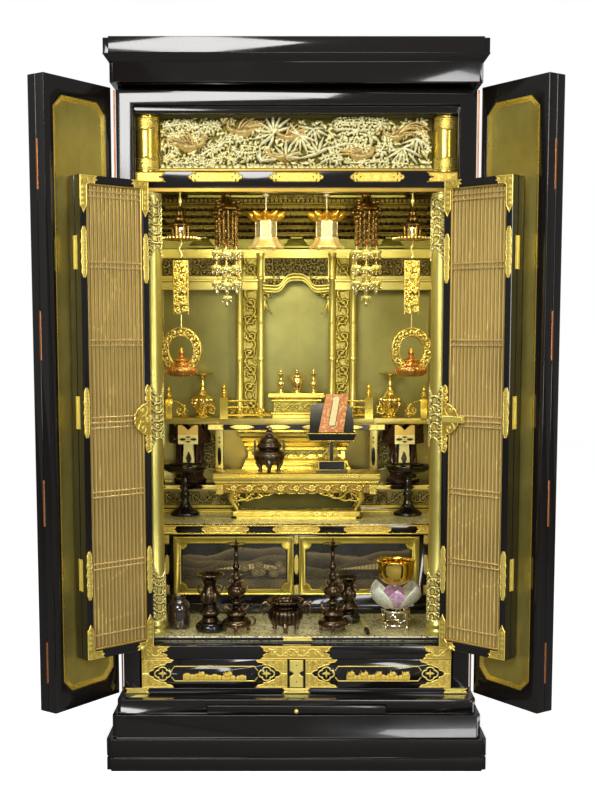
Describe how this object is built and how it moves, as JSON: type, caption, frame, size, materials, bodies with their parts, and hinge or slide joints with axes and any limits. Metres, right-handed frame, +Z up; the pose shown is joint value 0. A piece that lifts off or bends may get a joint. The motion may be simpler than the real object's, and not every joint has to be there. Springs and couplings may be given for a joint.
{
  "type": "household altar cabinet",
  "caption": "Tall black-lacquered household altar cabinet with open folding doors, lattice inner doors, gilt pillars and stepped gilt interior holding altar fittings.",
  "frame": {"origin": "middle of the plinth's underside, on the floor", "axes": "+Z up, +X to the viewer's right, the open front faces -Y and the flat back +Y"},
  "size_m": [1.171, 0.8143, 1.688],
  "materials": {
    "lacquer_body": "glossy black lacquer on wood",
    "lacquer_doors": "glossy black lacquer with gold-leaf panels inside",
    "gauze_lattice": "black lattice over beige gauze with gold plates",
    "gold_leaf": "carved wood under matt gold leaf",
    "gilt_fittings": "gilt, engraved and partly polished",
    "gold_speckle": "black lacquer strewn with gold flakes",
    "lacquer_fittings": "glossy black lacquer with gold edges",
    "bronze": "dark patinated metal, semi-gloss",
    "lotus_glass": "white glass with violet tips",
    "book_paper": "orange-brown speckled paper"
  },
  "bodies": {
    "root": {"altar_table": "gilt_fittings", "bell_lotus": "lotus_glass", "bell_stand": "gilt_fittings", "bell_striker": "lacquer_fittings", "bowl_bell": "gilt_fittings", "bracket_frieze": "gold_leaf", "candlestick_left": "bronze", "candlestick_right": "bronze", "carcass": "lacquer_body", "censer": "bronze", "cornice": "lacquer_body", "cupboard_front": "lacquer_body", "deck": "gold_speckle", "drawer_case": "lacquer_body", "footed_stand_left": "lacquer_fittings", "footed_stand_right": "lacquer_fittings", "front_frame": "lacquer_body", "garland_left": "gilt_fittings", "garland_right": "gilt_fittings", "gilt_lining": "gold_leaf", "lantern_left": "gilt_fittings", "lantern_right": "gilt_fittings", "lidless_jar": "bronze", "lotus_vase_left": "gilt_fittings", "lotus_vase_right": "gilt_fittings", "lower_dais": "gold_leaf", "offering_box_left": "lacquer_fittings", "offering_box_right": "lacquer_fittings", "palace_back_board": "gold_leaf", "palace_frame": "gold_leaf", "pillar_left": "gilt_fittings", "pillar_right": "gilt_fittings", "plinth": "lacquer_body", "reading_stand": "lacquer_fittings", "ring_lamp_left": "gilt_fittings", "ring_lamp_right": "gilt_fittings", "short_column_left": "gilt_fittings", "short_column_right": "gilt_fittings", "stage": "gold_leaf", "stage_pedestal": "gold_leaf", "stage_railing": "gilt_fittings", "sutra_book": "book_paper", "top_table": "gilt_fittings", "transom_carving": "gold_leaf", "transom_rail": "lacquer_body", "tripod_censer": "bronze", "upper_shelf": "gold_speckle", "vase_left": "bronze", "vase_right": "bronze"},
    "outer_door_left": {"outer_door_left": "lacquer_doors"},
    "outer_fold_left": {"outer_fold_left": "lacquer_doors"},
    "inner_door_left": {"inner_door_left": "gauze_lattice"},
    "inner_fold_left": {"inner_fold_left": "gauze_lattice"},
    "drawer_left": {"drawer_left": "lacquer_body"},
    "outer_door_right": {"outer_door_right": "lacquer_doors"},
    "outer_fold_right": {"outer_fold_right": "lacquer_doors"},
    "inner_door_right": {"inner_door_right": "gauze_lattice"},
    "inner_fold_right": {"inner_fold_right": "gauze_lattice"},
    "drawer_right": {"drawer_right": "lacquer_body"},
    "tray": {"tray": "lacquer_body"}
  },
  "joints": [
    {"name": "outer_door_left_hinge", "type": "hinge", "parent": "root", "child": "outer_door_left", "pos_m": [-0.4247, -0.282, 0.8775], "axis": [0, 0, -1], "range_deg": [-125, 0]},
    {"name": "outer_fold_left_hinge", "type": "hinge", "parent": "outer_door_left", "child": "outer_fold_left", "pos_m": [-0.56579, -0.44079, 0.8775], "axis": [0, 0, -1], "range_deg": [-180, 0]},
    {"name": "inner_door_left_hinge", "type": "hinge", "parent": "root", "child": "inner_door_left", "pos_m": [-0.369, -0.274, 0.8295], "axis": [0, 0, -1], "range_deg": [-138, 0]},
    {"name": "inner_fold_left_hinge", "type": "hinge", "parent": "inner_door_left", "child": "inner_fold_left", "pos_m": [-0.49035, -0.41421, 0.8295], "axis": [0, 0, 1], "range_deg": [-180, 0]},
    {"name": "drawer_left_slide", "type": "slide", "parent": "root", "child": "drawer_left", "axis": [0, -1, 0], "range_m": [0, 0.2]},
    {"name": "outer_door_right_hinge", "type": "hinge", "parent": "root", "child": "outer_door_right", "pos_m": [0.4247, -0.282, 0.8775], "axis": [0, 0, 1], "range_deg": [-125, 0]},
    {"name": "outer_fold_right_hinge", "type": "hinge", "parent": "outer_door_right", "child": "outer_fold_right", "pos_m": [0.56579, -0.44079, 0.8775], "axis": [0, 0, 1], "range_deg": [-180, 0]},
    {"name": "inner_door_right_hinge", "type": "hinge", "parent": "root", "child": "inner_door_right", "pos_m": [0.369, -0.274, 0.8295], "axis": [0, 0, 1], "range_deg": [-138, 0]},
    {"name": "inner_fold_right_hinge", "type": "hinge", "parent": "inner_door_right", "child": "inner_fold_right", "pos_m": [0.49035, -0.41421, 0.8295], "axis": [0, 0, -1], "range_deg": [-180, 0]},
    {"name": "drawer_right_slide", "type": "slide", "parent": "root", "child": "drawer_right", "axis": [0, -1, 0], "range_m": [0, 0.2]},
    {"name": "tray_slide", "type": "slide", "parent": "root", "child": "tray", "axis": [0, -1, 0], "range_m": [0, 0.2]}
  ],
  "couplings": [
    {"joint": "inner_door_left_hinge", "follows": "outer_door_left_hinge", "ratio": 1.1039},
    {"joint": "inner_fold_left_hinge", "follows": "outer_door_left_hinge", "ratio": 1.4399},
    {"joint": "inner_door_right_hinge", "follows": "outer_door_right_hinge", "ratio": 1.1039},
    {"joint": "inner_fold_right_hinge", "follows": "outer_door_right_hinge", "ratio": 1.4399}
  ]
}
